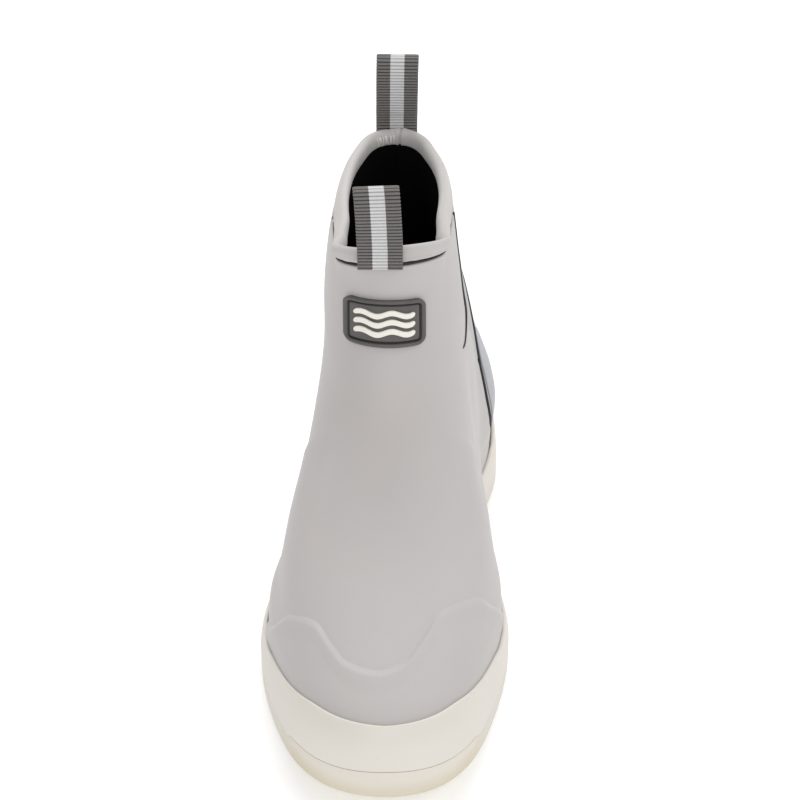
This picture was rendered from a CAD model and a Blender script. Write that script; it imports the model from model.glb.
"""Finished look of the ankle deck boot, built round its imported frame.

Shape numbers are millimetres on the boot's last: distance from the toe, height above the ground,
and an angle round the boot that is 0 at the toe, +pi/2 on the outer side and pi at the heel.
"""

import math

import bmesh
import bpy
import numpy as np
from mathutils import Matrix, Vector


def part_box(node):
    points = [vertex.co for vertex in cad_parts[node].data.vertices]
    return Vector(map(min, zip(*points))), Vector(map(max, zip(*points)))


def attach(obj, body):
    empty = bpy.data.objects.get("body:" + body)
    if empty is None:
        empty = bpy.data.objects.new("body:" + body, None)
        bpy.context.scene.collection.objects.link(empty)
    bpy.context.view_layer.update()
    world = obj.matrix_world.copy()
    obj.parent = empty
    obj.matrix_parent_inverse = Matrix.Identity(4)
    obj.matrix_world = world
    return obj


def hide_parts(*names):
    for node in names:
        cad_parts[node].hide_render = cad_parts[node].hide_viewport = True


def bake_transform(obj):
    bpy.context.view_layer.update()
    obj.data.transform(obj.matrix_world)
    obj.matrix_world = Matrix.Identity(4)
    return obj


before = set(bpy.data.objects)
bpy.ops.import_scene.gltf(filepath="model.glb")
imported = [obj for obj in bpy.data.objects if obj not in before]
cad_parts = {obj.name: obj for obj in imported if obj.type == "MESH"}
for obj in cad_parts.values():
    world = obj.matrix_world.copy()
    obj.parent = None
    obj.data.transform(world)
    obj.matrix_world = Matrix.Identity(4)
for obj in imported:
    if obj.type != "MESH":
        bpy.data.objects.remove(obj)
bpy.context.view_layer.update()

PI = math.pi
MM = 0.001
BOOT = "boot"

# ---------------------------------------------------------------- driving sizes, as in the CAD source

MIDDLE_X = 0.33
MIDDLE_Y = 147.66
TOE_SPRING = 6.0
TOE_SPRING_LENGTH = 85.0

STATIONS = (0.0, 0.05, 0.15, 0.3, 0.45, 0.6, 0.8, 1.0)
# Height, toe, heel, sideways shift (toe, middle, heel), then a width for each station.
LEVELS = (
    (6, 4.0, 291.0, 0.5, 2.5, 20.0, (75, 66, 58.5, 55.0, 44.0, 35.5, 50, 59.5)),
    (24, 5.0, 291.5, 0.5, 2.7, 20.0, (74, 65.5, 58.5, 55.0, 43.5, 35.5, 50, 59)),
    (36, 10.0, 291.0, 0.5, 3.2, 20.5, (70, 64, 58.5, 53.8, 42.5, 37, 50, 58)),
    (46, 22.0, 289.5, 0.5, 4.2, 20.8, (68, 62.5, 57, 50, 40.5, 37.5, 49.8, 56)),
    (60, 48.0, 286.5, 0.5, 4.6, 19.5, (60, 58, 54.5, 46, 38.5, 37.5, 47.5, 53)),
    (74, 79.0, 281.5, 0.3, 5.0, 17.0, (54, 53, 50, 41, 36.5, 36, 43, 49)),
    (90, 107.0, 275.0, 0.2, 5.2, 14.0, (46, 45, 42, 37, 34, 34.5, 38.5, 43)),
    (110, 129.0, 269.0, 0.5, 5.0, 10.5, (37, 36.5, 34.5, 33, 32, 32.5, 34, 36)),
    (132, 142.0, 265.5, 1.5, 3.6, 7.0, (35, 34.5, 33, 31.5, 31, 30.5, 29, 29)),
    (154, 148.0, 262.5, 2.0, 3.2, 4.5, (40, 38.5, 33.2, 30, 28.6, 27.4, 25.8, 28)),
    (176, 150.5, 260.0, 2.5, 4.0, 4.0, (72, 57, 34.9, 26.4, 25.2, 24.7, 24.8, 30)),
)

RUBBER = 1.8
SOCK_OUT = -2.6
SOCK_WALL = 2.4
STIFFENER_ROOM = 1.5
OUTSOLE_TOP = 8.0
CUP_LIP = 9.6
TOE_LIP = 14.0
BUMPER_END = 0.62
LUG_DEPTH = 3.2
SOCK_FLOOR = 16.7
FOOTBED_COVER = (24.2, 25.2)
UPPER_FOOT = 10.2
UPPER_TOP = 164.9
SOCK_TOP = 173.8
LEVEL_RIM = 166.0
RIM_SPAN = (146.0, 262.0)
RIM_LIFT = (-4.7, 2.4)
RIM_RAMP = 7.0
RIM_ROLL = 0.07
RIM_MIDDLE = 3.5
ROLL_FOOT = 146.0
SOLE_OUT = 3.6
GROOVE_WIDTH = 2.8
GROOVE_WAVE = 3.0
GROOVE_MARGIN = 6.0
TREAD_GROOVES = (24, 38, 52, 66, 80, 94, 108, 122, 196, 210, 224, 238, 252, 266)

WEB_WIDTH = 19.0
WEB = 1.3
RIB = 1.48
ANCHOR_BELOW_AXIS = 1.9
FRONT_TAB_RISE = 29.0
REAR_TAB_RISE = 34.5

BADGE_Z = 139.5
BADGE_WIDTH = 33.0
BADGE_HEIGHT = 20.0
BADGE_CORNER = 3.4
BADGE_ARCH = 0.8
WAVE_LENGTH = 24.0
WAVE_WIDTH = 2.4
WAVE_PITCH = 3.9
WAVE_RISE = 0.8

GORE_FRONT = (
    (78, 217), (90, 211.5), (104, 204.5), (116, 199.3), (126, 197.6), (138, 195.8), (150, 195.8), (176, 197),
)
HEEL_FRONT = (
    (6, 214), (18, 222), (28, 226), (40, 218.5), (50, 215), (60, 215.5), (71, 219.5), (80, 223),
    (92, 227), (110, 231), (140, 233), (176, 231),
)
STRIPE_BACK = ((27, 236), (40, 239), (50, 237), (62, 239.5), (70, 241.5), (80, 239), (88, 231))
GORE_FOOT = (73, 83)
GORE_HOOK = ((115.5, 197.9), (112.2, 195.2), (108.8, 190), (107.3, 183.5), (108.4, 176.5))
FOXING_TOP = (
    (0.0, 32.6), (0.25, 33.2), (0.42, 33.6), (0.58, 32.3), (0.74, 30.2), (0.9, 27), (1.05, 22.5),
    (1.5, 20.5), (2.0, 20.5), (2.25, 27), (2.5, 34), (PI, 36),
)
TOE_CAP_TOP = (
    (-1.16, 24), (-1.1, 28), (-0.73, 50.5), (-0.48, 54.6), (-0.35, 52.2), (-0.236, 49.7), (-0.04, 48.7),
    (0.1, 50.2), (0.236, 54.6), (0.39, 58.5), (0.65, 56.4), (1.01, 41), (1.16, 29),
)

# ---------------------------------------------------------------- last surface, as in the CAD source


def key_slopes(xs, ys):
    """Slopes at hand-set keys that never overshoot them."""
    step = np.diff(xs)[:, None]
    rise = np.diff(ys, axis=0) / step
    slope = np.zeros_like(ys)
    slope[0] = rise[0]
    slope[-1] = rise[-1]
    before, after = rise[:-1], rise[1:]
    weight_a = 2 * step[1:] + step[:-1]
    weight_b = step[1:] + 2 * step[:-1]
    same = before * after > 0
    safe_before = np.where(same, before, 1.0)
    safe_after = np.where(same, after, 1.0)
    mean = (weight_a + weight_b) / (weight_a / safe_before + weight_b / safe_after)
    slope[1:-1] = np.where(same, mean, 0.0)
    return slope


def hermite(u, step, low, high, slope_low, slope_high):
    return (
        (2 * u**3 - 3 * u**2 + 1) * low
        + (u**3 - 2 * u**2 + u) * step * slope_low
        + (3 * u**2 - 2 * u**3) * high
        + (u**3 - u**2) * step * slope_high
    )


def through_keys(t, xs, ys):
    """Smooth values at t through the keys; t any shape, ys one row per key."""
    xs = np.asarray(xs, float)
    ys = np.asarray(ys, float).reshape(len(xs), -1)
    slope = key_slopes(xs, ys)
    flat = np.clip(np.ravel(t), xs[0], xs[-1])
    i = np.clip(np.searchsorted(xs, flat, side="right") - 1, 0, len(xs) - 2)
    step = (xs[i + 1] - xs[i])[:, None]
    u = (flat - xs[i])[:, None] / step
    value = hermite(u, step, ys[i], ys[i + 1], slope[i], slope[i + 1])
    return value.reshape(np.shape(t) + (ys.shape[1],))


def curve_value(t, keys):
    """One smooth number at t through (t, value) keys."""
    return through_keys(t, [key[0] for key in keys], [key[1] for key in keys])[..., 0]


LEVEL_HEIGHTS = [level[0] for level in LEVELS]
LEVEL_VALUES = [[*level[1:6], *level[6]] for level in LEVELS]
MID_WIDTH = 9


def level_at(z):
    return through_keys(z, LEVEL_HEIGHTS, LEVEL_VALUES)


def as_angle(length, z):
    """A short length round the boot's side as an angle."""
    return length / level_at(z)[..., MID_WIDTH]


def last_point(theta, z):
    """A point of the last: theta 0 at the toe, +pi/2 on the outer side, pi at the heel."""
    theta, z = np.broadcast_arrays(np.asarray(theta, float), np.asarray(z, float))
    level = level_at(z)
    along = (1 - np.cos(theta)) / 2
    length = level[..., 0] + (level[..., 1] - level[..., 0]) * along
    stations = np.asarray(STATIONS)
    full = np.moveaxis(level[..., 5:], -1, 0).reshape(len(stations), -1)
    slopes = key_slopes(stations, full)
    flat = along.ravel()
    i = np.clip(np.searchsorted(stations, flat, side="right") - 1, 0, len(stations) - 2)
    pick = np.arange(len(flat))
    step = stations[i + 1] - stations[i]
    u = (flat - stations[i]) / step
    width = hermite(u, step, full[i, pick], full[i + 1, pick], slopes[i, pick], slopes[i + 1, pick])
    front, middle, back = level[..., 2], level[..., 3], level[..., 4]
    shift = (
        2 * (along - 0.5) * (along - 1) * front
        - 4 * along * (along - 1) * middle
        + 2 * along * (along - 0.5) * back
    )
    return np.stack([shift + width.reshape(along.shape) * np.sin(theta), length, z], -1)


def last_normal(theta, z):
    theta, z = np.broadcast_arrays(np.asarray(theta, float), np.asarray(z, float))
    small = 0.01
    round_way = last_point(theta + small, z) - last_point(theta - small, z)
    up_way = last_point(theta, z + 0.5) - last_point(theta, z - 0.5)
    normal = np.cross(up_way, round_way)
    outwards = last_point(theta, z) - (last_point(0 * theta, z) + last_point(PI + 0 * theta, z)) / 2
    normal[..., 2] *= np.clip((LEVEL_RIM - z) / 15, 0, 1)
    length = np.linalg.norm(normal, axis=-1, keepdims=True)
    normal = normal / np.where(length > 0, length, 1)
    sign = np.sign((normal[..., :2] * outwards[..., :2]).sum(-1))
    return normal * np.where(sign == 0, 1, sign)[..., None]


def skin(theta, z, offset):
    """The last surface moved out along its normal."""
    theta, z, offset = np.broadcast_arrays(*(np.asarray(v, float) for v in (theta, z, offset)))
    return last_point(theta, z) + last_normal(theta, z) * offset[..., None]


def wall(theta, z, offset):
    """The last outline at one height moved out level, for pieces of the sole."""
    theta, z, offset = np.broadcast_arrays(*(np.asarray(v, float) for v in (theta, z, offset)))
    normal = last_normal(theta, z) * np.array([1.0, 1.0, 0.0])
    normal = normal / np.linalg.norm(normal, axis=-1, keepdims=True)
    return last_point(theta, z) + normal * offset[..., None]


def placed(points):
    """Shape millimetres to boot coordinates in metres, with the toe lifted and the rim sloped."""
    points = np.array(points, float)
    high = points[..., 2].copy()
    rise = np.clip(1 - points[..., 1] / TOE_SPRING_LENGTH, 0, 1.1) ** 2
    back = np.clip((points[..., 1] - RIM_SPAN[0]) / (RIM_SPAN[1] - RIM_SPAN[0]), -0.1, 1.1)
    lift = RIM_LIFT[0] + (RIM_LIFT[1] - RIM_LIFT[0]) * back
    roll = RIM_ROLL * (points[..., 0] - RIM_MIDDLE) * (1 - back)
    blend = np.clip((high - ROLL_FOOT) / (LEVEL_RIM - ROLL_FOOT), 0, 1)
    points[..., 2] += TOE_SPRING * rise + lift * np.clip((high - LEVEL_RIM) / RIM_RAMP, 0, 1)
    points[..., 2] += roll * blend * blend * (3 - 2 * blend)
    points[..., 0] -= MIDDLE_X
    points[..., 1] -= MIDDLE_Y
    return points * MM


def theta_at(length, z):
    """The angle at which the level reaches this distance from the toe."""
    level = level_at(z)
    along = (length - level[..., 0]) / (level[..., 1] - level[..., 0])
    return np.arccos(np.clip(1 - 2 * along, -1, 1))


def line_theta(line, z):
    return theta_at(curve_value(z, line), z)


def front_edge(z):
    """Rear edge of the vamp: the gore line, the gore's slanted foot, and the heel line below it."""
    z = np.asarray(z, float)
    low, high = GORE_FOOT
    heel = line_theta(HEEL_FRONT, z)
    gore = np.minimum(line_theta(GORE_FRONT, z), heel)
    foot = float(line_theta(HEEL_FRONT, low))
    top = float(min(line_theta(GORE_FRONT, high), line_theta(HEEL_FRONT, high)))
    share = np.clip((z - low) / (high - low), 0, 1)
    between = foot * (1 - share) + top * share
    return np.where(z <= low, heel, np.where(z >= high, gore, between))


def foxing_top(theta):
    return curve_value(np.abs(theta), FOXING_TOP)


def cup_lip(theta):
    """Top of the outsole's side wall, raised round the toe with a small step at each end."""
    step = np.clip((BUMPER_END - np.abs(theta)) / 0.03, 0, 1)
    slope = np.clip(1 - np.abs(theta) / BUMPER_END, 0, 1)
    return CUP_LIP + (TOE_LIP - CUP_LIP) * (0.55 * step + 0.45 * slope)


def stiffener_room(theta, z):
    """1 where a hidden stiffener lies between the rubber and the sock, 0 elsewhere."""
    heel = np.clip((np.abs(theta) - 1.9) / 0.3, 0, 1) * np.clip((92 - z) / 12, 0, 1)
    toe = np.clip((1.05 - np.abs(theta)) / 0.25, 0, 1) * np.clip((58 - z) / 8, 0, 1)
    return np.clip(np.maximum(heel, toe), 0, 1)


def theta_at_x(x, z):
    """The angle on the front of the boot whose point has this x."""
    theta = np.zeros(np.shape(x))
    for _ in range(12):
        here = last_point(theta, z)[..., 0]
        slope = (last_point(theta + 0.01, z)[..., 0] - last_point(theta - 0.01, z)[..., 0]) / 0.02
        theta = theta + (x - here) / slope
    return theta


# ---------------------------------------------------------------- mesh makers

# The distance from an edge that a material reads where no edge matters.
NO_EDGE = 9.0
TIP = 0.6


def smoothstep(t):
    t = np.clip(t, 0, 1)
    return t * t * (3 - 2 * t)


def round_over(distance, radius):
    """How far a rounded edge has dropped at this distance in from it."""
    t = 1 - np.clip(distance / radius, 0, 1)
    return radius * (1 - np.sqrt(np.clip(1 - t * t, 0, 1)))


def spaced(count, ease=0.8):
    """Shares from 0 to 1, closer together near both ends."""
    t = np.linspace(0, 1, count)
    return (1 - ease) * t + ease * (1 - np.cos(PI * t)) / 2


def mesh_grid(left, right, low, high, cols, rows):
    """Angles and heights of a grid whose left and right edges depend on height."""
    z = (low + (high - low) * spaced(rows, 0.6))[:, None] + np.zeros((1, cols))
    share = spaced(cols)[None, :]
    a, b = left(z[:, 0])[:, None], right(z[:, 0])[:, None]
    return a + (b - a) * share, z


def run(points, axis):
    """Distance along the surface from the first point of each row or column."""
    step = np.linalg.norm(np.diff(points, axis=axis), axis=-1)
    start = np.zeros_like(np.take(step, [0], axis=axis))
    return np.cumsum(np.concatenate([start, step], axis=axis), axis=axis)


def edge_distance(points, sides):
    """Distance in from the named edges of a grid: l, r, b or t."""
    across, up = run(points, 1), run(points, 0)
    far = {
        "l": across,
        "r": across[:, -1:] - across,
        "b": up,
        "t": up[-1:] - up,
    }
    return np.min([far[side] for side in sides], axis=0)


def grid_faces(rows, cols, start, wrap):
    r, c = np.meshgrid(np.arange(rows - 1), np.arange(cols if wrap else cols - 1), indexing="ij")
    d = (c + 1) % cols
    quads = np.stack([r * cols + c, r * cols + d, (r + 1) * cols + d, (r + 1) * cols + c], -1)
    return (quads.reshape(-1, 4) + start).tolist()


def slab_faces(rows, cols):
    """Faces of a closed slab: the outer grid, the inner grid after it, and the strips between them."""
    count = rows * cols
    faces = grid_faces(rows, cols, 0, False)
    faces += [face[::-1] for face in grid_faces(rows, cols, count, False)]
    top = (rows - 1) * cols
    for c in range(cols - 1):
        faces.append([c + 1, c, count + c, count + c + 1])
        faces.append([top + c, top + c + 1, count + top + c + 1, count + top + c])
    for low in range(0, top, cols):
        high = low + cols
        end, next_end = low + cols - 1, high + cols - 1
        faces.append([low, high, count + high, count + low])
        faces.append([next_end, end, count + end, count + next_end])
    return faces


def add_object(name, data):
    obj = bpy.data.objects.new(name, data)
    bpy.context.scene.collection.objects.link(obj)
    return obj


def add_field(mesh, name, kind, key, values):
    """A value at each point of the mesh, for its material to read."""
    made = mesh.attributes.new(name, kind, "POINT")
    made.data.foreach_set(key, np.asarray(values, np.float32).ravel())


def make_piece(name, points, faces, look, replaces, body=BOOT, flow=None, sharp=None, tone=None):
    """One finished piece from points in metres: it faces out, rides its body and stands for CAD nodes."""
    mesh = bpy.data.meshes.new(name)
    mesh.from_pydata(np.asarray(points, float).reshape(-1, 3).tolist(), [], faces)
    work = bmesh.new()
    work.from_mesh(mesh)
    bmesh.ops.recalc_face_normals(work, faces=work.faces)
    work.to_mesh(mesh)
    work.free()
    mesh.shade_smooth()
    if sharp:
        mesh.set_sharp_from_angle(angle=math.radians(sharp))
    if flow is not None:
        add_field(mesh, "flow", "FLOAT_VECTOR", "vector", flow)
    if tone is not None:
        add_field(mesh, "tone", "FLOAT", "value", tone)
    mesh.materials.append(LOOKS[look])
    obj = add_object(name, mesh)
    if isinstance(body, str):
        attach(obj, body)
    else:
        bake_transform(obj)
    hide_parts(*replaces)
    return obj


def flow_of(points, sides=""):
    """Distance round, distance up and distance in from the named edges, for the material to follow."""
    edge = edge_distance(points, sides) if sides else np.full(points.shape[:2], NO_EDGE)
    return np.stack([run(points, 1), run(points, 0), edge], -1)


def make_slab(name, outer, inner, look, replaces, sides="lrbt"):
    points = placed(np.concatenate([outer.reshape(-1, 3), inner.reshape(-1, 3)]))
    flows = np.concatenate([flow_of(outer, sides).reshape(-1, 3)] * 2)
    make_piece(name, points, slab_faces(*outer.shape[:2]), look, replaces, flow=flows)


def ring_loft(sections):
    """Faces between rings of equal count, closed round the section as well."""
    rows, count = len(sections), len(sections[0])
    faces = grid_faces(rows, count, 0, True)
    last = (rows - 1) * count
    for c in range(count):
        d = (c + 1) % count
        faces.append([last + c, last + d, d, c])
    return faces


def tube(path, radius, sides, flat, up):
    """Points and faces of a cord along a path, flattened along up and closed to a point at both ends."""
    radius = np.broadcast_to(np.asarray(radius, float), len(path))
    way = unit_ways(path)
    side = np.cross(way, np.asarray(up, float))
    side /= np.linalg.norm(side, axis=1, keepdims=True)
    lift = np.cross(side, way)
    turn = np.linspace(0, 2 * PI, sides, endpoint=False)
    ring = side[:, None] * np.cos(turn)[None, :, None] + lift[:, None] * np.sin(turn)[None, :, None] * flat
    points = (path[:, None] + ring * radius[:, None, None]).reshape(-1, 3)
    faces = grid_faces(len(path), sides, 0, True)
    count = len(points)
    tips = [path[:1] - way[:1] * radius[0] * TIP, path[-1:] + way[-1:] * radius[-1] * TIP]
    points = np.concatenate([points, *tips])
    for a in range(sides):
        b = (a + 1) % sides
        faces.append([b, a, count])
        faces.append([count - sides + a, count - sides + b, count + 1])
    return points, faces


def unit_ways(path):
    """The direction of a path at each of its points."""
    way = np.gradient(path, axis=0)
    return way / np.linalg.norm(way, axis=1, keepdims=True)


def lengths(path):
    """Distance along a path from its start to each of its points."""
    return np.concatenate([[0], np.cumsum(np.linalg.norm(np.diff(path, axis=0), axis=1))])


def at_lengths(path, at):
    """Points of a path at these distances from its start."""
    length = lengths(path)
    return np.stack([np.interp(at, length, path[:, k]) for k in range(path.shape[1])], -1)


def smooth_path(points, per_span):
    """A Catmull-Rom curve through hand-set points."""
    p = np.asarray(points, float)
    p = np.concatenate([2 * p[:1] - p[1:2], p, 2 * p[-1:] - p[-2:-1]])
    out = []
    for a, b, c, d in zip(p, p[1:], p[2:], p[3:]):
        square, cube = 2 * a - 5 * b + 4 * c - d, 3 * b - a - 3 * c + d
        for t in np.linspace(0, 1, per_span, endpoint=False):
            out.append(0.5 * (2 * b + (c - a) * t + square * t * t + cube * t**3))
    out.append(p[-2])
    return np.array(out)


# ---------------------------------------------------------------- materials


def screen(red, green, blue):
    """A colour given as screen values from 0 to 255, as the linear colour that nodes take."""
    share = np.array([red, green, blue]) / 255
    linear = np.where(share <= 0.04045, share / 12.92, ((share + 0.055) / 1.055) ** 2.4)
    return tuple(float(v) for v in linear)


class Look:
    """One node material. Sizes, distances and bump heights in its nodes are millimetres."""

    def __init__(self, name, specular, sheen=0.0):
        self.material = bpy.data.materials.new(name)
        self.material.use_nodes = True
        self.tree = self.material.node_tree
        self.shader = self.tree.nodes["Principled BSDF"]
        self.shader.inputs["Specular IOR Level"].default_value = specular
        self.shader.inputs["Sheen Weight"].default_value = sheen
        self.shader.inputs["Sheen Roughness"].default_value = 0.45
        self.place = self.node("ShaderNodeVectorMath", operation="SCALE")
        self.place.inputs["Scale"].default_value = 1 / MM
        self.link(self.node("ShaderNodeTexCoord").outputs["Object"], self.place.inputs[0])
        self.parts = None

    def node(self, kind, **settings):
        made = self.tree.nodes.new(kind)
        for key, value in settings.items():
            setattr(made, key, value)
        return made

    def link(self, output, socket):
        self.tree.links.new(output, socket)

    def feed(self, socket, value):
        if isinstance(value, bpy.types.NodeSocket):
            self.link(value, socket)
        elif hasattr(value, "__len__"):
            socket.default_value = (*value, 1.0)[: len(socket.default_value)]
        else:
            socket.default_value = value

    def maths(self, operation, *values):
        made = self.node("ShaderNodeMath", operation=operation)
        for socket, value in zip(made.inputs, values):
            self.feed(socket, value)
        return made.outputs[0]

    def total(self, *values):
        """The sum of several (height, weight) pairs."""
        result = 0.0
        for value, weight in values:
            result = self.maths("MULTIPLY_ADD", value, weight, result)
        return result

    def noise(self, size, detail=2.0, stretch=(1, 1, 1), offset=0.0):
        """Smooth noise from 0 to 1, with features of this size."""
        move = self.node("ShaderNodeVectorMath", operation="MULTIPLY_ADD")
        self.link(self.place.outputs[0], move.inputs[0])
        move.inputs[1].default_value = tuple(1 / (size * s) for s in stretch)
        move.inputs[2].default_value = (offset, offset * 0.7, offset * 1.3)
        made = self.node("ShaderNodeTexNoise")
        self.link(move.outputs[0], made.inputs["Vector"])
        made.inputs["Scale"].default_value = 1.0
        made.inputs["Detail"].default_value = detail
        return made.outputs["Fac"]

    def cells(self, size):
        """Small rounded cells, 0 in the middle of each."""
        made = self.node("ShaderNodeTexVoronoi", feature="F1")
        self.link(self.place.outputs[0], made.inputs["Vector"])
        made.inputs["Scale"].default_value = 1 / size
        return made.outputs["Distance"]

    def flow(self, index):
        """Distance round (0), distance up (1) or distance in from the edge (2)."""
        if self.parts is None:
            source = self.node("ShaderNodeAttribute", attribute_name="flow")
            split = self.node("ShaderNodeSeparateXYZ")
            self.link(source.outputs["Vector"], split.inputs[0])
            self.parts = split.outputs
        return self.parts[index]

    def tone(self):
        return self.node("ShaderNodeAttribute", attribute_name="tone").outputs["Fac"]

    def wave(self, index, pitch):
        """A cosine from -1 to 1 along one flow distance."""
        return self.maths("COSINE", self.maths("MULTIPLY", self.flow(index), 2 * PI / pitch))

    def weave(self, across, along):
        """Crossing yarns at these pitches, from -1 to 1."""
        return self.maths("MULTIPLY", self.wave(0, across), self.wave(1, along))

    def near(self, low, high, value):
        """1 below low, 0 above high, smooth between."""
        made = self.node("ShaderNodeMapRange", interpolation_type="SMOOTHSTEP")
        self.feed(made.inputs["Value"], value)
        made.inputs["From Min"].default_value = low
        made.inputs["From Max"].default_value = high
        made.inputs["To Min"].default_value = 1.0
        made.inputs["To Max"].default_value = 0.0
        return made.outputs[0]

    def mix(self, share, first, second):
        made = self.node("ShaderNodeMix", data_type="RGBA")
        self.feed(made.inputs["Factor"], share)
        self.feed(made.inputs[6], first)
        self.feed(made.inputs[7], second)
        return made.outputs[2]

    def shaded(self, share, amount, first, second):
        """The first colour, turned towards the second by this amount where share is 1."""
        return self.mix(self.maths("MULTIPLY", share, amount), first, second)

    def colour(self, value):
        self.feed(self.shader.inputs["Base Color"], value)

    def roughness(self, low, high, share):
        made = self.node("ShaderNodeMapRange")
        self.feed(made.inputs["Value"], share)
        made.inputs["To Min"].default_value = low
        made.inputs["To Max"].default_value = high
        self.link(made.outputs[0], self.shader.inputs["Roughness"])

    def relief(self, *layers):
        """Surface relief from (height, weight) pairs, in millimetres."""
        bump = self.node("ShaderNodeBump")
        bump.inputs["Strength"].default_value = 1.0
        bump.inputs["Distance"].default_value = MM
        self.feed(bump.inputs["Height"], self.total(*layers))
        self.link(bump.outputs[0], self.shader.inputs["Normal"])


def scaled(colour, factor):
    return tuple(min(v * factor, 1.0) for v in colour)


def upper_rubber():
    look = Look("upper_rubber", specular=0.32, sheen=0.12)
    base = screen(190, 186, 185)
    cloud = look.noise(34, 3, offset=4.0)
    tinted = look.mix(cloud, scaled(base, 0.97), scaled(base, 1.02))
    warm = look.mix(look.near(0.35, 0.62, look.noise(58, 2, offset=19.0)), tinted, screen(191, 186, 184))
    speck = look.near(0.24, 0.3, look.noise(1.1, 2, offset=31.0))
    dusty = look.shaded(speck, 0.35, warm, scaled(base, 0.78))
    seam = look.near(0.05, 0.9, look.flow(2))
    look.colour(look.shaded(seam, 0.25, dusty, scaled(base, 0.7)))
    look.roughness(0.5, 0.66, look.noise(1.8, 3))
    look.relief((look.noise(0.42, 3), 0.035), (look.noise(2.6, 2), 0.05), (look.cells(0.9), 0.012))
    return look.material


def gore_knit():
    look = Look("gore_neoprene", specular=0.2, sheen=0.3)
    base = screen(192, 189, 188)
    weave = look.weave(0.9, 0.7)
    tinted = look.mix(look.noise(22, 3, offset=8.0), scaled(base, 0.93), base)
    shade = look.mix(look.near(-1.0, 0.2, weave), tinted, scaled(base, 0.84))
    look.colour(look.shaded(look.near(0.1, 1.2, look.flow(2)), 0.3, shade, scaled(base, 0.7)))
    look.roughness(0.78, 0.92, look.noise(1.2))
    look.relief((weave, 0.05), (look.noise(0.4), 0.05))
    return look.material


def stripe_rubber():
    look = Look("stripe_rubber", specular=0.4)
    base = screen(178, 179, 184)
    tinted = look.mix(look.noise(14, 3), scaled(base, 0.92), scaled(base, 1.05))
    look.colour(look.mix(look.near(0.05, 0.7, look.flow(2)), tinted, scaled(base, 0.55)))
    look.roughness(0.42, 0.6, look.noise(1.6, 3))
    look.relief((look.noise(0.5, 3), 0.03), (look.wave(1, 1.6), 0.03))
    return look.material


def piping_rubber():
    look = Look("piping_rubber", specular=0.35)
    base = screen(44, 43, 44)
    look.colour(look.mix(look.noise(3, 3), scaled(base, 0.7), scaled(base, 1.6)))
    look.roughness(0.5, 0.75, look.noise(0.9, 3))
    look.relief((look.noise(0.3, 3), 0.03))
    return look.material


def cream(look, clean):
    """Cream rubber that turns beige near the ground at the toe; gives back its faint handling marks."""
    split = look.node("ShaderNodeSeparateXYZ")
    look.link(look.place.outputs[0], split.inputs[0])
    cloud = look.mix(look.noise(30, 2, offset=3.0), scaled(clean, 0.985), scaled(clean, 1.01))
    height = look.maths("MULTIPLY_ADD", look.noise(12, 2, offset=9.0), 3.0, split.outputs[2])
    toe = look.near(-128, -104, split.outputs[1])
    beige = look.maths("MULTIPLY", look.near(5.0, 17.0, height), toe)
    aged = look.mix(beige, cloud, screen(212, 203, 178))
    scuff = look.near(0.26, 0.32, look.noise(2.2, 4, stretch=(3, 3, 0.6), offset=2.0))
    look.colour(look.shaded(scuff, 0.12, aged, screen(205, 196, 180)))
    return scuff


def foxing_rubber():
    look = Look("foxing_rubber", specular=0.42)
    scuff = cream(look, screen(221, 216, 207))
    look.roughness(0.38, 0.5, look.noise(2.4, 4))
    look.relief((look.noise(0.5, 3), 0.015), (look.noise(3.4, 2), 0.03), (scuff, -0.02))
    return look.material


def outsole_rubber():
    look = Look("outsole_rubber", specular=0.4)
    scuff = cream(look, screen(221, 215, 205))
    look.roughness(0.44, 0.62, look.noise(1.8, 4))
    look.relief((look.noise(0.45, 4), 0.02), (look.noise(3.0, 2), 0.03), (scuff, -0.02))
    return look.material


def binding_knit():
    look = Look("collar_binding_knit", specular=0.25, sheen=0.25)
    base = screen(203, 200, 197)
    weave = look.weave(0.62, 0.5)
    tinted = look.mix(look.noise(9, 4, offset=5.0), scaled(base, 0.96), base)
    soiled = look.mix(look.near(0.3, 0.5, look.noise(4.5, 4, offset=21.0)), tinted, screen(200, 196, 191))
    look.colour(look.mix(look.near(-1.0, 0.0, weave), soiled, scaled(base, 0.88)))
    look.roughness(0.7, 0.88, look.noise(1.0, 3))
    look.relief((weave, 0.03), (look.noise(0.35, 3), 0.03), (look.noise(2.4, 2), 0.06))
    return look.material


def webbing():
    """Ribbed grosgrain in three equal stripes; flow gives the place across and along the strip."""
    look = Look("tab_webbing", specular=0.3, sheen=0.15)
    waver = look.maths("MULTIPLY", look.wave(1, RIB), 0.08)
    middle = look.maths("ABSOLUTE", look.maths("ADD", look.flow(0), waver))
    light = look.near(WEB_WIDTH / 6 - 0.12, WEB_WIDTH / 6 + 0.12, middle)
    fibres = look.noise(0.34, 2, stretch=(1, 1, 2.5))
    dark_yarn = look.mix(fibres, screen(92, 89, 88), screen(136, 133, 131))
    light_yarn = look.mix(fibres, screen(196, 195, 196), screen(228, 227, 228))
    yarn = look.mix(light, dark_yarn, light_yarn)
    valley = look.mix(light, screen(34, 32, 31), screen(150, 149, 150))
    hollow = look.near(-0.98, 0.1, look.wave(1, RIB))
    look.colour(look.shaded(hollow, 0.85, yarn, valley))
    look.roughness(0.6, 0.85, fibres)
    threads = look.maths("ABSOLUTE", look.wave(0, 0.76))
    look.relief((threads, 0.05), (fibres, 0.06))
    return look.material


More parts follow.
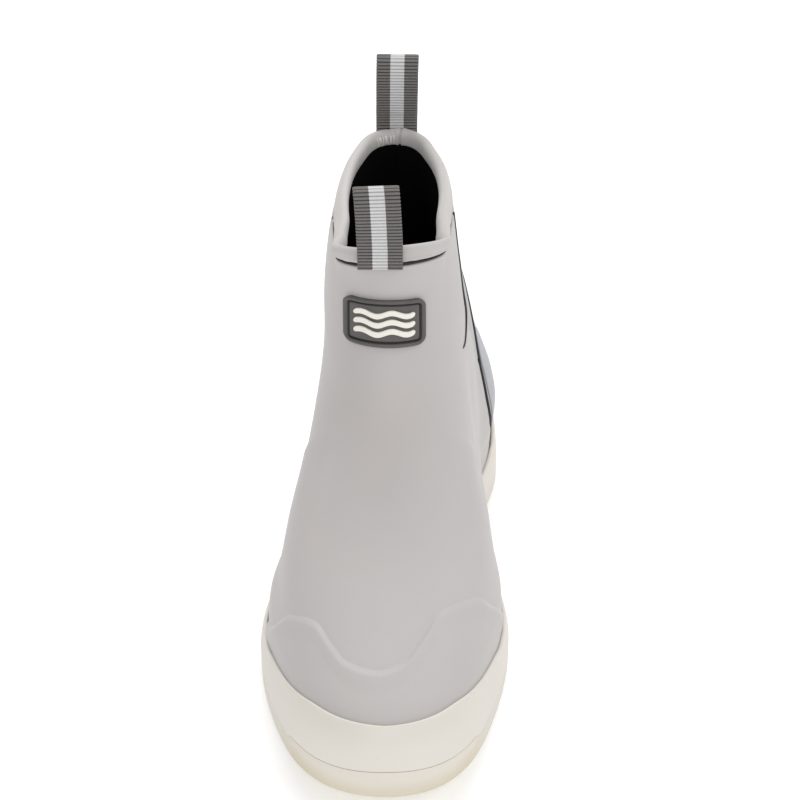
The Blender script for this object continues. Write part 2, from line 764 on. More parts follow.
def badge_rubber():
    look = Look("badge_rubber", specular=0.45)
    base = screen(92, 89, 87)
    tinted = look.mix(look.noise(4, 4), scaled(base, 0.82), scaled(base, 1.12))
    look.colour(look.mix(look.tone(), tinted, screen(36, 34, 33)))
    look.roughness(0.42, 0.62, look.noise(0.8, 3))
    look.relief((look.noise(0.3, 3), 0.05), (look.cells(0.55), 0.03))
    return look.material


def badge_emblem():
    look = Look("badge_emblem", specular=0.4)
    base = screen(243, 240, 230)
    look.colour(look.mix(look.noise(2.5, 4), scaled(base, 0.93), base))
    look.roughness(0.4, 0.58, look.noise(0.8, 3))
    look.relief((look.noise(0.35, 3), 0.03))
    return look.material


def lining_knit():
    look = Look("sock_lining_knit", specular=0.08)
    weave = look.weave(1.1, 0.9)
    look.colour(look.mix(look.near(-0.6, 0.6, weave), screen(15, 15, 16), screen(5, 5, 6)))
    look.roughness(0.88, 1.0, look.noise(1.5, 3))
    look.relief((weave, 0.09), (look.noise(0.6, 3), 0.06))
    return look.material


def footbed_knit():
    look = Look("footbed_knit", specular=0.1, sheen=0.1)
    holes = look.near(0.24, 0.42, look.cells(2.2))
    cloth = look.mix(look.noise(0.5, 3), screen(20, 20, 22), screen(38, 38, 41))
    look.colour(look.mix(holes, cloth, screen(8, 8, 9)))
    look.roughness(0.85, 1.0, look.noise(1.2))
    look.relief((holes, -0.2), (look.noise(0.4, 3), 0.08))
    return look.material


def label_ribbon():
    look = Look("label_ribbon", specular=0.25, sheen=0.1)
    weave = look.weave(0.5, 0.42)
    look.colour(look.mix(look.near(-1.0, 0.4, weave), screen(34, 34, 36), screen(14, 14, 15)))
    look.roughness(0.6, 0.8, look.noise(0.7))
    look.relief((weave, 0.05), (look.noise(0.3), 0.03))
    return look.material


def stitch_thread():
    look = Look("stitch_thread", specular=0.35, sheen=0.2)
    twist = look.noise(0.3, 2, stretch=(1, 1, 0.5))
    look.colour(look.mix(twist, screen(205, 203, 199), screen(248, 247, 245)))
    look.roughness(0.55, 0.75, twist)
    look.relief((twist, 0.06))
    return look.material


def plain_foam(name, low, high, pore):
    """A foam or a pressed board, by its two colours and pore size."""
    look = Look(name, specular=0.15)
    pores = look.near(0.1, 0.5, look.cells(pore))
    look.colour(look.mix(look.noise(pore * 9, 4), look.mix(pores, low, high), scaled(low, 0.85)))
    look.roughness(0.8, 0.95, look.noise(pore * 2))
    look.relief((pores, -0.15), (look.noise(pore * 3, 4), 0.12))
    return look.material


def floor_look():
    look = Look("floor", specular=0.1)
    look.shader.inputs["Emission Color"].default_value = (1.0, 1.0, 1.0, 1.0)
    look.shader.inputs["Emission Strength"].default_value = 0.35
    look.colour(look.mix(look.noise(400, 2), (0.72, 0.72, 0.72), (0.73, 0.73, 0.73)))
    look.roughness(0.85, 0.95, look.noise(60))
    return look.material


LOOKS = {
    "upper": upper_rubber(),
    "gore": gore_knit(),
    "stripe": stripe_rubber(),
    "piping": piping_rubber(),
    "foxing": foxing_rubber(),
    "outsole": outsole_rubber(),
    "binding": binding_knit(),
    "webbing": webbing(),
    "badge": badge_rubber(),
    "emblem": badge_emblem(),
    "lining": lining_knit(),
    "footbed": footbed_knit(),
    "ribbon": label_ribbon(),
    "thread": stitch_thread(),
    "midsole": plain_foam("midsole_foam", screen(232, 230, 224), screen(205, 203, 196), 0.9),
    "footbed_foam": plain_foam("footbed_foam", screen(64, 64, 68), screen(34, 34, 37), 0.7),
    "board": plain_foam("insole_board", screen(176, 158, 128), screen(140, 122, 94), 0.5),
    "stiffener": plain_foam("stiffener_board", screen(150, 142, 124), screen(118, 110, 94), 0.6),
}


# ---------------------------------------------------------------- upper

# Moulded edge between the thicker rubber of the foot and the ankle: (angle from the toe, height).
ANKLE_LINE = (
    (0.0, 104), (0.6, 97), (0.72, 93.5), (0.84, 90), (0.99, 83.5), (1.28, 71), (1.6, 56), (1.9, 44),
    (2.2, 36),
)
ANKLE_STEP = 0.9
SEAM_HALF = 0.35
BUTT_HALF = 0.01
CAP_STEP = 1.5
CAP_REACH = 1.14
MEDIAL_SINK = -0.7
EDGE_RADIUS = 0.9
SIDES = ((1, "lateral"), (-1, "medial"))


def ankle_relief(theta, z):
    """Thicker rubber below the ankle line, fading out over the instep and towards the sole."""
    side = np.abs(theta)
    below = curve_value(np.clip(side, 0, 2.2), ANKLE_LINE) - z
    edge = smoothstep(below / 4.0 + 0.5)
    fade = smoothstep((side - 0.45) / 0.25) * smoothstep((60 - below) / 50) * smoothstep((2.25 - side) / 0.3)
    return ANKLE_STEP * edge * fade


def softness(theta, z):
    """The slight unevenness of moulded rubber over a knit sock."""
    broad = 0.1 * np.sin(3.1 * theta + 0.05 * z) * np.sin(0.07 * z + 1.3)
    return broad + 0.07 * np.sin(5.3 * theta - 0.09 * z + 0.6)


def open_seam(z):
    """1 where a cord lies in the seam in front of the gore, 0 at the gore's foot, where the edges butt."""
    return np.clip(smoothstep((z - 108) / 8) + smoothstep((76 - z) / 4), 0, 1)


def front_gap(z):
    """Half the gap between vamp and gore, as an angle."""
    return as_angle(BUTT_HALF + (SEAM_HALF - BUTT_HALF) * open_seam(z), z)


def vamp_edge(z):
    return front_edge(z) - front_gap(z)


def gore_front(z):
    return front_edge(z) + front_gap(z)


def gore_back(z):
    return line_theta(HEEL_FRONT, z) - as_angle(SEAM_HALF, z)


def heel_edge(z):
    return line_theta(HEEL_FRONT, z) + as_angle(SEAM_HALF, z)


def make_panel(name, look, node, left, right, low, cols, rows, butt="", relief=None):
    """One panel of the upper; butt names the sides whose edges stay square at the gore's foot."""
    theta, z = mesh_grid(left, right, low, UPPER_TOP, cols, rows)
    grid = last_point(theta, z)
    drop = round_over(edge_distance(grid, "t"), EDGE_RADIUS)
    for side in "lr":
        edge = round_over(edge_distance(grid, side), EDGE_RADIUS)
        drop = np.maximum(drop, edge * (open_seam(z) if side in butt else 1))
    lift = softness(theta, z) - drop
    if relief:
        lift = lift + relief(theta, z)
    make_slab(name, skin(theta, z, lift), skin(theta, z, -RUBBER), look, [node], sides="lr")


def make_upper():
    make_panel(
        "vamp_rubber", "upper", "vamp", lambda z: -vamp_edge(z), vamp_edge,
        UPPER_FOOT, 300, 190, butt="lr", relief=ankle_relief,
    )
    make_panel(
        "heel_quarter_rubber", "upper", "heel_quarter",
        heel_edge, lambda z: 2 * PI - heel_edge(z), UPPER_FOOT, 130, 170,
    )
    gore_low = GORE_FOOT[0] + 3.5
    make_panel(
        "lateral_gore_knit", "gore", "lateral_gore",
        gore_front, gore_back, gore_low, 60, 120, butt="l",
    )
    make_panel(
        "medial_gore_knit", "gore", "medial_gore",
        lambda z: -gore_back(z), lambda z: -gore_front(z), gore_low, 60, 120, butt="r",
    )


def make_toe_cap():
    """A moulded cap whose wavy edge runs out softly into the vamp."""
    share, up = np.meshgrid(spaced(220), spaced(70), indexing="xy")
    theta = CAP_REACH * (2 * share - 1)
    low = foxing_top(theta) - 3.0
    high = np.maximum(curve_value(theta, TOE_CAP_TOP), low + 2.0)
    z = low + (high - low) * up
    edge = edge_distance(last_point(theta, z), "t")
    fall = 1 - 0.45 * smoothstep((edge - 4) / 9)
    lift = -0.1 + CAP_STEP * smoothstep(edge / 4.5) * fall + softness(theta, z)
    make_slab(
        "toe_cap_rubber", skin(theta, z, lift), skin(theta, z, -0.5), "upper",
        ["toe_cap_overlay"], sides="",
    )


def make_cord(name, theta, z, out, radius, node):
    points, faces = tube(skin(theta, z, out), radius, 14, 0.8, last_normal(theta, z).mean(0))
    make_piece(name, placed(points), faces, "piping", [node])


def make_piping():
    """Dark cords that lie in the seams and end in a hook at the foot of each gore."""
    top = UPPER_TOP + 0.4
    for side, word in SIDES:
        heights = np.linspace(top, GORE_HOOK[0][0] + 4, 9)
        line = np.column_stack([heights, curve_value(heights, GORE_FRONT)])
        z, length = smooth_path(np.concatenate([line, GORE_HOOK]), 10).T
        share = np.linspace(0, 1, len(z))
        make_cord(
            f"{word}_gore_cord", side * theta_at(length, z), z, MEDIAL_SINK * (1 - side) / 2,
            np.interp(share, (0, 0.3, 0.7, 0.97, 1), (0.5, 0.75, 0.95, 0.6, 0.2)), f"{word}_gore_piping",
        )
        z = np.linspace(top, 14.0, 160)
        make_cord(
            f"{word}_heel_cord", side * line_theta(HEEL_FRONT, z), z, 0.0,
            np.interp(z, (20, 35, 90, 165), (0.5, 0.9, 0.85, 0.6)), f"{word}_heel_piping",
        )


def make_stripes():
    """The thin cool-grey wedge behind the heel seam on each side."""
    for side, word in SIDES:
        z = (29 + 56 * spaced(90, 0.6))[:, None] + np.zeros((1, 40))
        start = line_theta(HEEL_FRONT, z) + as_angle(1.4, z)
        end = np.maximum(line_theta(STRIPE_BACK, z), start + as_angle(0.6, z))
        theta = side * (start + (end - start) * spaced(40)[None, :])
        edge = edge_distance(last_point(theta, z), "lrbt")
        lift = 0.75 - round_over(edge, 0.7) + softness(theta, z)
        make_slab(
            f"{word}_stripe", skin(theta, z, lift), skin(theta, z, -0.4), "stripe",
            [f"{word}_heel_stripe"],
        )


def make_side_label():
    """A small woven ribbon folded into the seam behind the outer gore."""
    low, high, reach = 155.0, 164.6, 5.0
    z = np.linspace(low, high, 24)[:, None] + np.zeros((1, 60))
    turn = np.linspace(0, 1, 60)[None, :]
    away = np.where(turn < 0.5, 2 * turn, 2 - 2 * turn)
    rise = 0.5 + 2.2 * np.sin(PI * turn) + np.where(turn < 0.5, 0.4, 0.0)
    theta = line_theta(HEEL_FRONT, z) + as_angle(0.8 + reach * np.sin(away * PI / 2), z)
    outer, inner = (skin(theta, z, rise + half) for half in (0.25, -0.25))
    make_slab("seam_label", outer, inner, "ribbon", ["side_label"])


# ---------------------------------------------------------------- sole


FOOT_OUTLINE = 10
SOLE_ROLL = 1.6
CUP_INSIDE = 0.3


def ring_angles(count):
    return np.linspace(-PI, PI, count, endpoint=False)


def level_ring(angles, offset, height):
    """The foot outline moved out level and set at one height, or at one height per angle."""
    edge = wall(angles, FOOT_OUTLINE, offset)
    return np.column_stack([edge[:, 0], edge[:, 1], height + 0 * angles])


def ladder(ring, base, start, across, up, crown):
    """Points and faces that close a ring by rungs between its two sides at the same length."""
    count = len(ring)
    points = []
    index = {}

    def rung(step, k):
        left, right = step, (count - step) % count
        if k == 0 or left == right:
            return base + left
        if k == across:
            return base + right
        if (step, k) not in index:
            t = k / across
            index[step, k] = start + len(points)
            lift = crown * min(1.0, 6 * t * (1 - t)) * min(1.0, step / 8, (count // 2 - step) / 8)
            points.append(ring[left] * (1 - t) + ring[right] * t + np.array([0, 0, lift]))
        return index[step, k]

    faces = []
    for step in range(count // 2):
        for k in range(across):
            corners = [rung(step, k), rung(step, k + 1), rung(step + 1, k + 1), rung(step + 1, k)]
            face = list(dict.fromkeys(corners))
            if len(face) > 2:
                faces.append(face[::-1] if up else face)
    return points, faces


def capped_rings(rings, across, crown=0.0):
    """Points and faces of level rings joined into a closed body, its top crowned by this much."""
    count = len(rings[0])
    points = list(np.concatenate(rings))
    faces = grid_faces(len(rings), count, 0, True)
    caps = ((rings[0], 0, False, 0.0), (rings[-1], count * (len(rings) - 1), True, crown))
    for ring, base, up, lift in caps:
        more, more_faces = ladder(ring, base, len(points), across, up, lift)
        points += more
        faces += more_faces
    return points, faces


def make_outsole():
    """Cup outsole: a rolled lower edge, a plain side wall and a grooved tread."""
    angles = ring_angles(320)
    lip = cup_lip(angles)
    rings = []
    for share in np.linspace(0, 1, 7):
        turn = share * PI / 2
        out, height = SOLE_OUT - SOLE_ROLL * (1 - math.sin(turn)), SOLE_ROLL * (1 - math.cos(turn))
        rings.append(level_ring(angles, out, height))
    for share, out in ((0.35, 0.0), (0.6, 0.02), (0.85, 0.0), (0.97, 0.0), (1.0, -0.08)):
        rings.append(level_ring(angles, SOLE_OUT + out, SOLE_ROLL + (lip - SOLE_ROLL) * share))
    rings.append(level_ring(angles, CUP_INSIDE, lip))
    rings.append(level_ring(angles, CUP_INSIDE, OUTSOLE_TOP))
    points, faces = capped_rings(rings, 12)
    sole = make_piece(
        "outsole_rubber", placed(points), faces, "outsole", ["outsole"], sharp=40
    )
    cutter = tread_cutter()
    cut = sole.modifiers.new("tread", "BOOLEAN")
    cut.operation = "DIFFERENCE"
    cut.solver = "EXACT"
    cut.object = cutter
    bpy.context.view_layer.update()
    graph = bpy.context.evaluated_depsgraph_get()
    cut_mesh = bpy.data.meshes.new_from_object(sole.evaluated_get(graph))
    sole.modifiers.clear()
    sole.data = cut_mesh
    cut_mesh.shade_smooth()
    cut_mesh.set_sharp_from_angle(angle=math.radians(40))
    bpy.data.objects.remove(cutter, do_unlink=True)


def tread_cutter():
    """Wavy bars with rounded roots that cut the grooves of the tread, none under the waist of the foot."""
    body = bmesh.new()
    half = GROOVE_WIDTH / 2
    root = 0.9
    section = [(-half - 0.2, -4.0), (half + 0.2, -4.0), (half, 0.6)]
    section += [(half * math.cos(a), LUG_DEPTH - root + root * math.sin(a)) for a in np.linspace(0, PI, 7)]
    section += [(-half, 0.6)]
    for place in TREAD_GROOVES:
        turn = theta_at(place, CUP_LIP)
        left, right = (wall(side * turn, CUP_LIP, SOLE_OUT - GROOVE_MARGIN)[0] for side in (-1, 1))
        xs = np.linspace(left, right, 65)
        rings = []
        for x in xs:
            y = place + GROOVE_WAVE * math.sin((x + 12) / 20 * PI)
            ring = placed(np.array([(x, y + across, height) for across, height in section]))
            rings.append([body.verts.new(point) for point in ring])
        for one, two in zip(rings, rings[1:]):
            for a in range(len(section)):
                b = (a + 1) % len(section)
                body.faces.new([one[a], one[b], two[b], two[a]])
        body.faces.new(rings[0])
        body.faces.new(rings[-1])
    bmesh.ops.recalc_face_normals(body, faces=body.faces)
    mesh = bpy.data.meshes.new("tread_cutter")
    body.to_mesh(mesh)
    body.free()
    tool = add_object("tread_cutter", mesh)
    tool.hide_render = True
    return tool


# Section of the foxing from its foot to its lip: (share of its height, distance out).
FOXING_SECTION = (
    (0.0, 3.5), (0.015, 3.6), (0.06, 3.62), (0.15, 3.62), (0.3, 3.55), (0.5, 3.3), (0.7, 2.9), (0.85, 2.5),
    (0.93, 2.2),
)
LIP = 0.85


def make_foxing():
    """Cream band with a slightly bowed face and a thin rolled lip."""
    angles = ring_angles(420)
    low = cup_lip(angles) + 0.02
    high = foxing_top(angles)
    rings = [skin(angles, low, 0.2)]
    for share, out in FOXING_SECTION:
        rings.append(skin(angles, low + (high - low) * share, out))
    out = FOXING_SECTION[-1][1]
    for turn in np.linspace(0.15, 1.0, 7) * PI:
        height = high - LIP * 0.35 + LIP * math.sin(turn)
        rings.append(skin(angles, height, out - LIP * (1 - math.cos(turn))))
    rings.append(skin(angles, high - 2.0, 0.12))
    sections = np.array(rings)
    make_piece(
        "foxing_rubber", placed(sections), ring_loft(sections), "foxing", ["foxing_band"],
        flow=flow_of(sections),
    )


# ---------------------------------------------------------------- inside


def make_lining():
    """The knit sock: walls and a floor, open at the collar."""
    angles = ring_angles(200)
    share, theta = np.meshgrid(np.linspace(0, 1, 110), angles, indexing="ij")
    sides = []
    for depth, uneven in ((0.0, 0.0), (SOCK_WALL, 0.25)):
        out, floor = SOCK_OUT - depth, SOCK_FLOOR + depth
        z = floor + (SOCK_TOP - floor) * share
        room = stiffener_room(theta, z) * STIFFENER_ROOM
        side = skin(theta, z, out - room + uneven * softness(theta * 2, z * 1.7))
        side[0] = level_ring(angles, out - STIFFENER_ROOM, floor)
        sides.append(side)
    rows, count = sides[0].shape[:2]
    flows = [flow_of(side).reshape(-1, 3) for side in sides]
    points = list(np.concatenate([side.reshape(-1, 3) for side in sides]))
    faces = grid_faces(rows, count, 0, True) + grid_faces(rows, count, rows * count, True)
    top, inner_top = (rows - 1) * count, (2 * rows - 1) * count
    for c in range(count):
        d = (c + 1) % count
        faces.append([top + c, top + d, inner_top + d, inner_top + c])
    for side, base, up in ((sides[0], 0, False), (sides[1], rows * count, True)):
        more, more_faces = ladder(side[0], base, len(points), 8, up, 0.0)
        points += more
        faces += more_faces
    flows.append(np.zeros((len(points) - 2 * rows * count, 3)))
    make_piece(
        "sock_knit", placed(points), faces, "lining", ["sock_lining"],
        flow=np.concatenate(flows),
    )


def make_footbed():
    """Knit cover of the footbed, slightly crowned, with a rounded edge."""
    angles = ring_angles(200)
    inside = SOCK_OUT - SOCK_WALL - STIFFENER_ROOM - 2.0
    low, high = FOOTBED_COVER
    section = ((0.4, low), (0.0, low + 0.3), (0.0, high - 0.35), (0.15, high - 0.1), (0.6, high))
    rings = [level_ring(angles, inside - inset, height) for inset, height in section]
    points, faces = capped_rings(rings, 16, 0.5)
    make_piece(
        "footbed_top_cloth", placed(points), faces, "footbed", ["footbed_cover"], sharp=50
    )


# ---------------------------------------------------------------- collar

# Section of the rolled binding from its outer foot, over the rim and back: (distance out, height).
BINDING_SECTION = (
    (-1.75, 167.1), (-1.1, 166.6), (-0.4, 167.2), (0.05, 169.3), (0.05, 171.8), (-0.5, 174.2),
    (-1.6, 175.8), (-2.95, 176.35), (-4.3, 175.9), (-5.3, 174.7), (-5.8, 173.0), (-5.8, 171.4),
    (-5.6, 170.2), (-5.25, 170.0), (-5.1, 171.4), (-4.75, 174.0), (-3.2, 174.6), (-2.1, 173.9),
    (-1.85, 170.0),
)
BINDING_CORE = (-2.9, 172.0)
JOINT_THETA = PI - 0.12
COLLAR_RADIUS = 26


def binding_section(count):
    """The closed section as points at equal distances."""
    span = 14
    keys = np.array(BINDING_SECTION)
    path = smooth_path(np.concatenate([keys[-2:], keys, keys[:2]]), span)[2 * span : -span - 1]
    closed = np.concatenate([path, path[:1]])
    return at_lengths(closed, np.linspace(0, lengths(closed)[-1], count, endpoint=False))


def make_binding():
    """Smooth knit binding rolled over the collar, gathered a little at its stitched edge and joint."""
    theta = (ring_angles(420) + 0.3)[None, :]
    out, height = (column[:, None] for column in binding_section(64).T)
    outward = smoothstep((out + 3.1) / 3.5)
    low = smoothstep((171.5 - height) / 4)
    crimp = np.sin(theta * 61 + 1.8 * np.sin(theta * 7)) * (0.6 + 0.4 * np.sin(theta * 13))
    gather = 0.16 * low * outward * crimp
    gap = (np.mod(theta - JOINT_THETA + PI, 2 * PI) - PI) * COLLAR_RADIUS
    joint = -0.5 * np.exp(-((gap / 0.55) ** 2)) + 0.25 * np.exp(-(((np.abs(gap) - 1.6) / 0.9) ** 2))
    fold = -0.35 * np.exp(-(((gap - 6.0) / 0.7) ** 2)) * smoothstep((height - 169) / 3)
    sway = 0.18 * np.sin(theta * 5 + 0.4) + 0.1 * np.sin(theta * 11)
    top = smoothstep((height - 172) / 3)
    points = skin(theta, height + sway * top, out)
    away = points - skin(theta, BINDING_CORE[1], BINDING_CORE[0])
    away /= np.linalg.norm(away, axis=-1, keepdims=True)
    points = points + away * (gather + joint + fold)[..., None]
    make_piece(
        "collar_binding_roll", placed(points), ring_loft(points), "binding",
        ["collar_binding"], flow=flow_of(points),
    )


def make_collar_seam():
    """Dark seam under the front of the binding, widest below the front tab."""
    theta = np.linspace(-1.3, 1.2, 120)
    angles = (-1.3, -0.8, -0.45, -0.2, 0.15, 0.35, 0.8, 1.2)
    radius = np.interp(theta, angles, (0.15, 0.4, 0.5, 0.85, 0.8, 0.45, 0.35, 0.12))
    points, faces = tube(skin(theta, 165.6, -0.55), radius, 12, 0.8, (0, 0, 1))
    make_piece("collar_seam_line", placed(points), faces, "piping", ["collar_seam_cord"])


def make_joint_stitches():
    """Hand-turned white stitches that close the binding's ends on the inside of the rear arch."""
    points, faces = [], []
    arc = np.linspace(0, 1, 14)
    for k in range(9):
        theta = PI + 0.02 + k * 0.052 + 0.022 * math.sin(k * 2.4) * arc + 0.012 * (k % 2)
        height = 171.9 + 0.2 * math.cos(k * 1.7) + (3.6 + 0.4 * math.sin(k * 3.1)) * (arc - 0.4)
        inside = np.interp(height, (169.8, 171.4, 173.0, 174.7, 175.9), (-5.4, -5.8, -5.8, -5.3, -4.3))
        path = skin(theta, height, inside - 0.3 * np.sin(arc * PI))
        more, more_faces = tube(path, 0.36, 8, 0.9, (1, 0, 0))
        faces += [[i + len(points) for i in face] for face in more_faces]
        points += list(more)
    make_piece("joint_stitches", placed(points), faces, "thread", ["collar_joint_stitch"])


# ---------------------------------------------------------------- badge


def rounded_outline(width, height, corner):
    """A rounded rectangle, with points along its sides so that it can follow a curve."""
    per_corner, long_side, short_side = 10, 40, 26
    points = []
    for turn in range(4):
        cx = (width / 2 - corner) * (1 if turn in (0, 3) else -1)
        cy = (height / 2 - corner) * (1 if turn in (0, 1) else -1)
        for k in range(per_corner):
            angle = PI / 2 * (turn + k / (per_corner - 1))
            points.append((cx + corner * math.cos(angle), cy + corner * math.sin(angle)))
        span = (width if turn % 2 == 0 else height) - 2 * corner
        along = (-math.sin(PI / 2 * (turn + 1)), math.cos(PI / 2 * (turn + 1)))
        steps = long_side if turn % 2 == 0 else short_side
        start = points[-1]
        for k in range(1, steps):
            points.append((start[0] + along[0] * span * k / steps, start[1] + along[1] * span * k / steps))
    return np.array(points)


def on_front(flat, out):
    """Flat badge points laid on the front of the shaft, the long edges sagging a little in the middle."""
    x = flat[..., 0]
    z = BADGE_Z + flat[..., 1] + BADGE_ARCH * (1 - (x / (BADGE_WIDTH / 2)) ** 2)
    return skin(theta_at_x(x, z), z, out)


# Steps of the badge's face from its edge inwards: (inset, height above the rubber, darkness).
BADGE_STEPS = (
    (0.45, -0.3, 1), (0.1, 0.1, 1), (0.0, 0.5, 0.6), (0.0, 1.5, 0), (0.08, 1.95, 0), (0.3, 2.25, 0),
    (0.65, 2.38, 0), (1.1, 2.38, 0), (1.4, 2.25, 0), (1.6, 1.95, 0), (1.72, 1.5, 0.5), (1.8, 1.2, 1),
    (2.0, 1.1, 1), (2.3, 1.12, 1), (2.45, 1.3, 0.6), (2.55, 1.55, 0), (2.75, 1.68, 0), (3.2, 1.7, 0),
    (4.5, 1.72, 0), (6.2, 1.76, 0), (8.0, 1.8, 0),
)
FIELD = BADGE_STEPS[-1][1]
WAVE_TOP = FIELD + 0.85


def make_badge():
    """Moulded patch with a rolled rim, a dark groove inside it and a slightly crowned field."""
    rings, tones = [], []
    for inset, out, dark in BADGE_STEPS:
        corner = max(BADGE_CORNER - inset, 0.8)
        flat = rounded_outline(BADGE_WIDTH - 2 * inset, BADGE_HEIGHT - 2 * inset, corner)
        rings.append(on_front(flat, out))
        tones += [dark] * len(flat)
    count = len(rings[0])
    last = (len(rings) - 1) * count
    hubs = [on_front(np.zeros((1, 2)), out) for out in (-0.3, FIELD)]
    faces = grid_faces(len(rings), count, 0, True)
    for c in range(count):
        d = (c + 1) % count
        faces.append([d, c, last + count])
        faces.append([last + c, last + d, last + count + 1])
    points = placed(np.concatenate(rings + hubs))
    make_piece(
        "badge_rubber", points, faces, "badge", ["badge_patch"], tone=tones + [1, 0], sharp=60
    )


def make_waves():
    """Three plain raised waves on the badge's field, with rounded edges and ends."""
    share, across = np.meshgrid(spaced(120, 0.9), spaced(26, 0.9), indexing="xy")
    for k, centre in enumerate((WAVE_PITCH, 0.0, -WAVE_PITCH)):
        x = (share - 0.5) * WAVE_LENGTH
        middle = centre + WAVE_RISE * np.sin(x / (WAVE_LENGTH / 2) * 2 * PI)
        room = np.abs(x) - (WAVE_LENGTH / 2 - WAVE_WIDTH / 2)
        end = np.sqrt(np.clip(1 - (np.clip(room, 0, None) / (WAVE_WIDTH / 2)) ** 2, 0.02, 1))
        half = WAVE_WIDTH / 2 * end
        flat = np.stack([x, middle + (across - 0.5) * 2 * half], -1)
        edge = np.minimum(half * (1 - np.abs(across - 0.5) * 2), WAVE_LENGTH / 2 - np.abs(x))
        outer = on_front(flat, WAVE_TOP - round_over(edge, 0.5))
        inner = on_front(flat, FIELD - 0.25)
        make_slab(
            f"emblem_wave_{k + 1}", outer, inner, "emblem", [f"badge_wave_{k + 1}"], sides=""
        )


# ---------------------------------------------------------------- pull tabs


WEB_STEP = RIB / 7
# The webbing bends between these heights from its hinge.
BEND_SPAN = (-2.2, 3.2)


def loop_route(foot, rise):
    """Side view of the webbing from its outer sewn end, up and over, to the inner: (depth, height)."""
    return smooth_path((
        (-0.72, foot), (-0.72, foot * 0.5), (-0.7, 0), (-0.7, 2.4), (-0.75, 8), (-0.7, rise - 11),
        (-0.35, rise - 5.6), (1.7, rise - 1.7), (4.5, rise - 0.75), (7.2, rise - 2.6), (8.3, rise - 7.5),
        (7.4, rise - 14), (4.3, 7.6), (1.5, 3.6), (0.72, 0.4), (0.72, foot * 0.3), (0.72, foot * 0.7),
        (0.72, foot + 0.3),
    ), 16)


def make_tab(word, rise, outward, lean, twist):
    """One strip of grosgrain, looped, its two ends sewn on top of each other to the collar."""
    low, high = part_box(f"{word}_tab_anchor")
    axis = np.array([(low.x + high.x) / 2, (low.y + high.y) / 2, high.z + ANCHOR_BELOW_AXIS * MM])
    route = loop_route((low.z - axis[2]) / MM, rise)
    whole = lengths(route)[-1]
    route = at_lengths(route, np.linspace(0, whole, int(whole / WEB_STEP) + 1))
    way = unit_ways(route)
    normal = np.column_stack([-way[:, 1], way[:, 0]])
    along = np.arange(len(route)) * WEB_STEP
    shares = np.concatenate([[-1, -0.985, -0.95], np.linspace(-0.9, 0.9, 31), [0.95, 0.985, 1]])
    ribs = np.cos(2 * PI * along / RIB)[:, None]
    edge = 1 - np.clip((np.abs(shares) - 0.9) / 0.1, 0, 1) ** 2 * 0.55
    thick = (WEB / 2 - 0.16) * edge[None, :] + 0.13 * ribs * edge[None, :]
    half = WEB_WIDTH / 2 + 0.12 * ribs
    across = shares[None, :] * half
    height = route[:, 1][:, None]
    # The free loop leans and turns slightly, more so higher up.
    rise_share = np.clip(height / rise, 0, 1)
    yaw = twist * rise_share
    sides = []
    for sign in (1, -1):
        depth = route[:, 0][:, None] + sign * thick * normal[:, 0][:, None]
        up = height + sign * thick * normal[:, 1][:, None]
        x = across * np.cos(yaw) + depth * np.sin(yaw) + lean * rise_share**1.3
        y = depth * np.cos(yaw) - across * np.sin(yaw)
        sides.append(np.stack([x * -outward, y * -outward, up], -1))
    outer, inner = sides
    points = np.concatenate([outer.reshape(-1, 3), inner.reshape(-1, 3)]) * MM + axis
    flow = np.stack([across, along[:, None] + 0 * across, np.zeros_like(across)], -1).reshape(-1, 3)
    start, end = ((axis[0], axis[1], axis[2] + reach * MM) for reach in BEND_SPAN)
    make_piece(
        f"{word}_pull_tab_webbing", points, slab_faces(*outer.shape[:2]), "webbing",
        [f"{word}_tab", f"{word}_tab_anchor"], body=(BOOT, f"{word}_pull_tab", start, end),
        flow=np.concatenate([flow, flow]),
    )


def make_tabs():
    make_tab("front", FRONT_TAB_RISE, -1.0, lean=-1.3, twist=-0.08)
    make_tab("rear", REAR_TAB_RISE, 1.0, lean=-0.6, twist=0.03)


# ---------------------------------------------------------------- pieces kept from the CAD


def dress_hidden_nodes():
    for node, look in (
        ("midsole_foam", "midsole"), ("insole_board", "board"), ("footbed_foam", "footbed_foam"),
        ("toe_puff", "stiffener"), ("heel_counter", "stiffener"),
    ):
        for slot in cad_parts[node].material_slots:
            slot.material = LOOKS[look]


# ---------------------------------------------------------------- stage


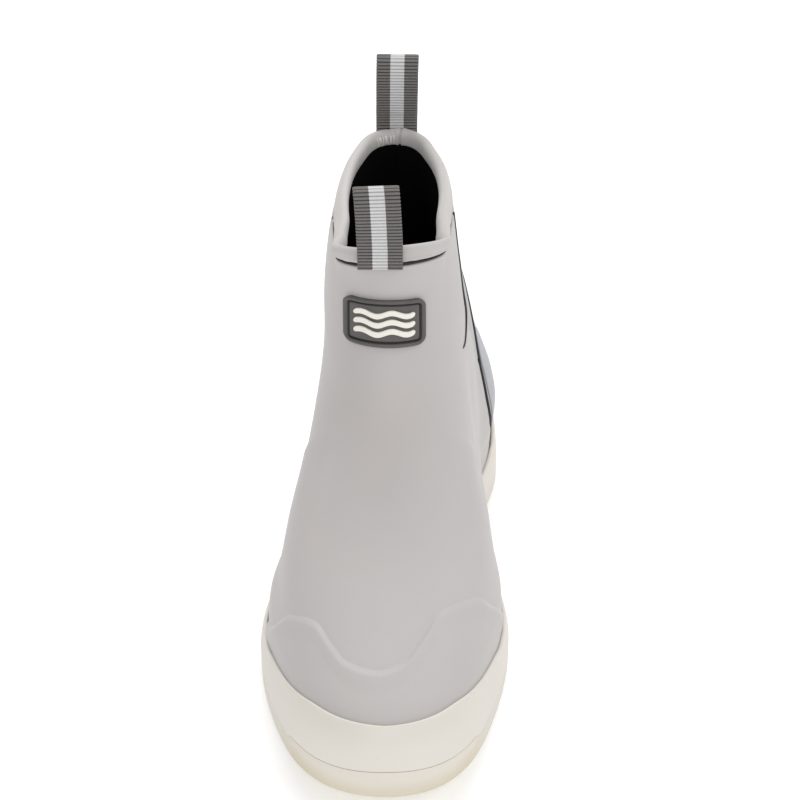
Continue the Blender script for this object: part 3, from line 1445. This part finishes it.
# Stage sizes in metres and watts; the camera's place is in the last's millimetres.
FLOOR_REACH = 4.0
FLOOR_DROP = 0.0003
WORLD_LIGHT = 0.543
LAMP_TARGET = (0.0, 0.0, 0.09)
LAMP_SIZE = 0.8
LAMPS = (("side", (1.2, -0.2, 1.3), 4.1), ("top", (0.0, 0.9, 1.3), 13.6), ("front", (0.0, -1.3, 0.9), 6.2))
CAMERA_PLACE = (6.5, -536.33, 543.84)
CAMERA_TILT = 57.0


def make_stage():
    mesh = bpy.data.meshes.new("floor")
    ways = ((-1, -1), (1, -1), (1, 1), (-1, 1))
    mesh.from_pydata([(x * FLOOR_REACH, y * FLOOR_REACH, -FLOOR_DROP) for x, y in ways], [], [(0, 1, 2, 3)])
    mesh.materials.append(floor_look())
    add_object("floor", mesh)


def make_light(name, place, power):
    data = bpy.data.lights.new(name, "AREA")
    data.shape = "SQUARE"
    data.size = LAMP_SIZE
    data.energy = power
    lamp = add_object(name, data)
    lamp.location = place
    lamp.rotation_euler = (Vector(LAMP_TARGET) - lamp.location).to_track_quat("-Z", "Y").to_euler()


def make_lights():
    world = bpy.data.worlds.new("studio")
    world.use_nodes = True
    background = world.node_tree.nodes["Background"]
    background.inputs["Color"].default_value = (1.0, 1.0, 1.0, 1.0)
    background.inputs["Strength"].default_value = WORLD_LIGHT
    bpy.context.scene.world = world
    for lamp in LAMPS:
        make_light(*lamp)


def make_camera():
    data = bpy.data.cameras.new("camera")
    data.lens = 84.0
    data.sensor_width = 36.0
    data.clip_start = 0.01
    camera = add_object("camera", data)
    x, y, z = CAMERA_PLACE
    camera.location = ((x - MIDDLE_X) * MM, (y - MIDDLE_Y) * MM, z * MM)
    camera.rotation_euler = (math.radians(CAMERA_TILT), 0.0, 0.0)
    bpy.context.scene.camera = camera


bpy.context.scene.view_settings.view_transform = "Standard"
make_camera()
make_lights()
make_stage()
make_upper()
make_toe_cap()
make_piping()
make_stripes()
make_side_label()
make_outsole()
make_foxing()
make_lining()
make_footbed()
make_binding()
make_collar_seam()
make_joint_stitches()
make_badge()
make_waves()
make_tabs()
dress_hidden_nodes()
